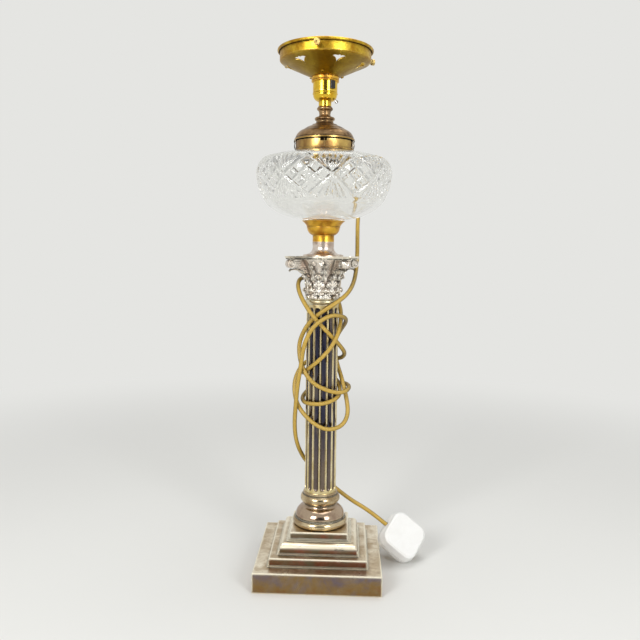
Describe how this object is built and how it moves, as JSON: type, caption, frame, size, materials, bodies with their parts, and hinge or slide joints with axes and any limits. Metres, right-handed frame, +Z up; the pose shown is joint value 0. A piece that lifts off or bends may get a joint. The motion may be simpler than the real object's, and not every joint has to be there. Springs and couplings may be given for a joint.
{
  "type": "table lamp",
  "caption": "Column table lamp: fluted silver-plated column, leafed capital, stepped square base, cut-glass font, brass lampholder, pierced shade gallery, winding flex and plug.",
  "frame": {"origin": "on the axis of the column, at the underside of the base", "axes": "+Z up along the column; -Y is the front; +X to the right as seen from the front"},
  "size_m": [0.2068, 0.1556, 0.6045],
  "materials": {
    "silver_plate": "silver plate on cast and spun brass, worn and tarnished",
    "antique_brass": "brass with an old gold lacquer",
    "bright_brass": "polished brass",
    "bronzed_brass": "spun brass with a brown bronzed lacquer",
    "steel": "zinc-plated steel",
    "iron": "rough black casting",
    "baize": "green baize on card",
    "cut_glass": "clear cut lead glass",
    "dark_moulding": "dark phenolic moulding",
    "white_moulding": "white moulding",
    "flex_sheath": "smooth golden sheath"
  },
  "bodies": {
    "lamp": {"base_casting": "silver_plate", "column_base": "silver_plate", "column_shaft": "silver_plate", "neck_ring": "silver_plate", "capital": "silver_plate", "abacus": "silver_plate", "font_socket": "silver_plate", "font_cup": "antique_brass", "gallery": "antique_brass", "shade_ring_lower": "antique_brass", "shade_ring_upper": "antique_brass", "gallery_rivets": "antique_brass", "holder_cap": "bright_brass", "holder_barrel": "bright_brass", "holder_liner": "bright_brass", "threaded_nipple": "bright_brass", "plug_earth_pin": "bright_brass", "plug_line_pins": "bright_brass", "bayonet_collar": "bronzed_brass", "adaptor_skirt": "bronzed_brass", "adaptor_dome": "bronzed_brass", "adaptor_stem": "bronzed_brass", "collar_springs": "steel", "nipple_nut": "steel", "earth_screw": "steel", "plug_screw": "steel", "rod_washer": "steel", "rod_nut": "steel", "tie_rod": "steel", "spring_left": "steel", "spring_right": "steel", "base_ballast": "iron", "base_pad": "baize", "glass_font": "cut_glass", "holder_insert": "dark_moulding", "flex_bush": "dark_moulding", "plug_base": "white_moulding", "plug_cover": "white_moulding", "flex": "flex_sheath"},
    "switch_bar_body": {"switch_bar": "dark_moulding"},
    "plunger_left_body": {"plunger_left": "bright_brass"},
    "plunger_right_body": {"plunger_right": "bright_brass"},
    "thumbscrew_front_body": {"thumbscrew_front": "antique_brass"},
    "thumbscrew_right_body": {"thumbscrew_right": "antique_brass"},
    "thumbscrew_left_body": {"thumbscrew_left": "antique_brass"}
  },
  "joints": [
    {"name": "switch_bar_slide", "type": "slide", "parent": "lamp", "child": "switch_bar_body", "axis": [-0.5878, 0.809, 0], "range_m": [0, 0.004]},
    {"name": "plunger_left_press", "type": "slide", "parent": "lamp", "child": "plunger_left_body", "axis": [0, 0, -1], "range_m": [0, 0.0025], "stiffness_N_per_m": 600, "deforming": ["spring_left"]},
    {"name": "plunger_right_press", "type": "slide", "parent": "lamp", "child": "plunger_right_body", "axis": [0, 0, -1], "range_m": [0, 0.0025], "stiffness_N_per_m": 600, "deforming": ["spring_right"]},
    {"name": "thumbscrew_front_clamp", "type": "slide", "parent": "lamp", "child": "thumbscrew_front_body", "axis": [0.1219, 0.9925, 0], "range_m": [0, 0.004]},
    {"name": "thumbscrew_right_clamp", "type": "slide", "parent": "lamp", "child": "thumbscrew_right_body", "axis": [-0.9205, -0.3907, 0], "range_m": [0, 0.004]},
    {"name": "thumbscrew_left_clamp", "type": "slide", "parent": "lamp", "child": "thumbscrew_left_body", "axis": [0.7986, -0.6018, 0], "range_m": [0, 0.004]}
  ]
}
